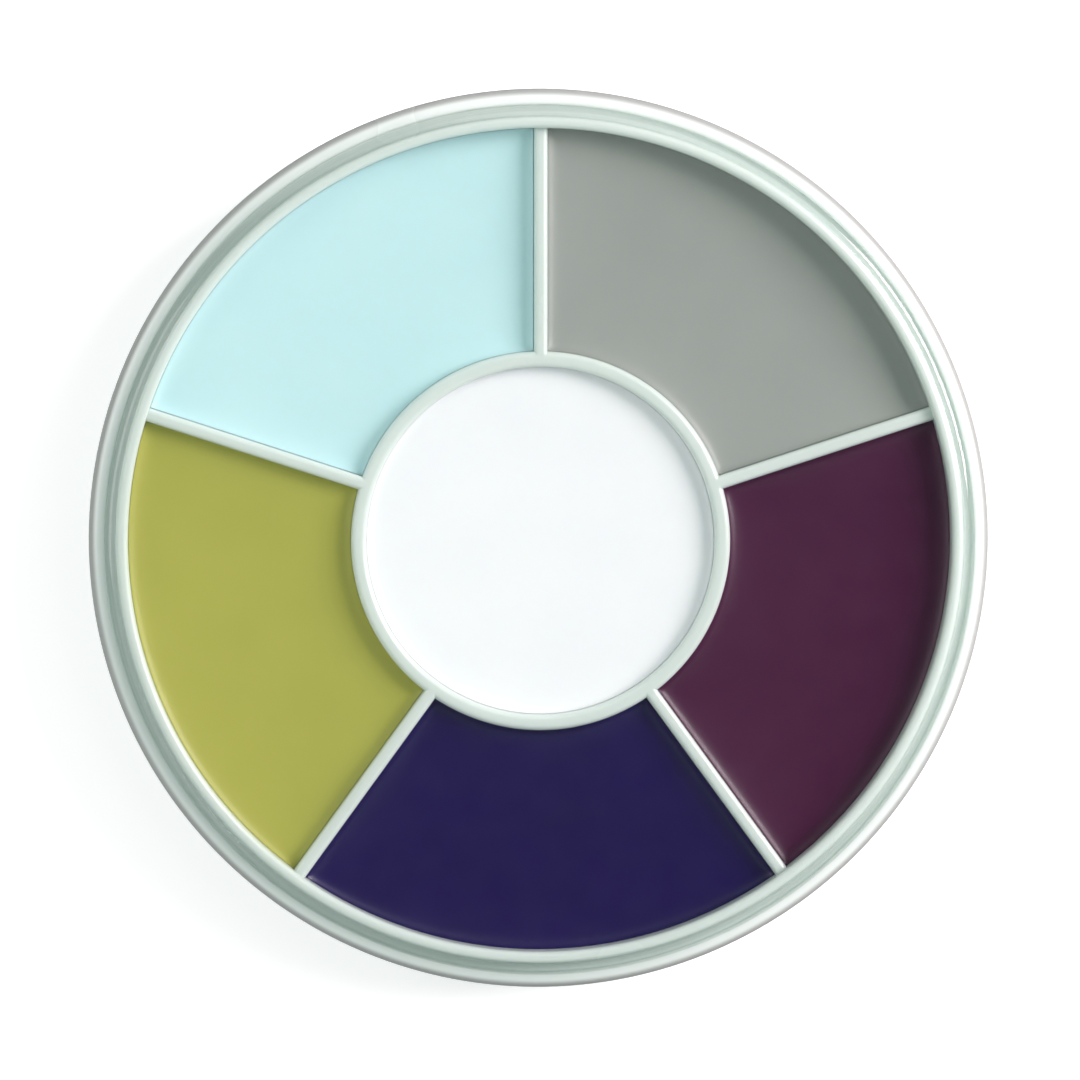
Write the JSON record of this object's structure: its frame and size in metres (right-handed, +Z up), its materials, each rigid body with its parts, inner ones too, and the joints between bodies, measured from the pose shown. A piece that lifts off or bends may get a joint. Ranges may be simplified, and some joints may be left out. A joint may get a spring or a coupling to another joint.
{
  "type": "round cream paint palette",
  "caption": "Round moulded palette with wedge-shaped wells of cream colour round a centre well, under a clear press-on lid.",
  "frame": {"origin": "centre of the foot ring, on the surface that the palette stands on", "axes": "+Z up out of the wells and along the lid's way off; +Y along the divider between the ice blue and the grey wells; +X to the right seen from above with +Y away"},
  "size_m": [0.083, 0.083, 0.0119],
  "materials": {
    "white_polystyrene": "satin",
    "clear_polystyrene": "polished",
    "ice_blue_cream": "satin",
    "grey_cream": "satin",
    "burgundy_cream": "satin",
    "violet_cream": "satin",
    "olive_cream": "satin",
    "white_cream": "satin",
    "label_paper": "matte"
  },
  "bodies": {
    "tray": {"base_tray": "white_polystyrene", "ice_blue_cream": "ice_blue_cream", "grey_cream": "grey_cream", "burgundy_cream": "burgundy_cream", "violet_cream": "violet_cream", "olive_cream": "olive_cream", "white_cream": "white_cream", "underside_label": "label_paper"},
    "lid": {"clear_lid": "clear_polystyrene"}
  },
  "joints": [
    {"name": "lid_lift", "type": "slide", "parent": "tray", "child": "lid", "axis": [0, 0, 1], "range_m": [0, 0.05]}
  ]
}
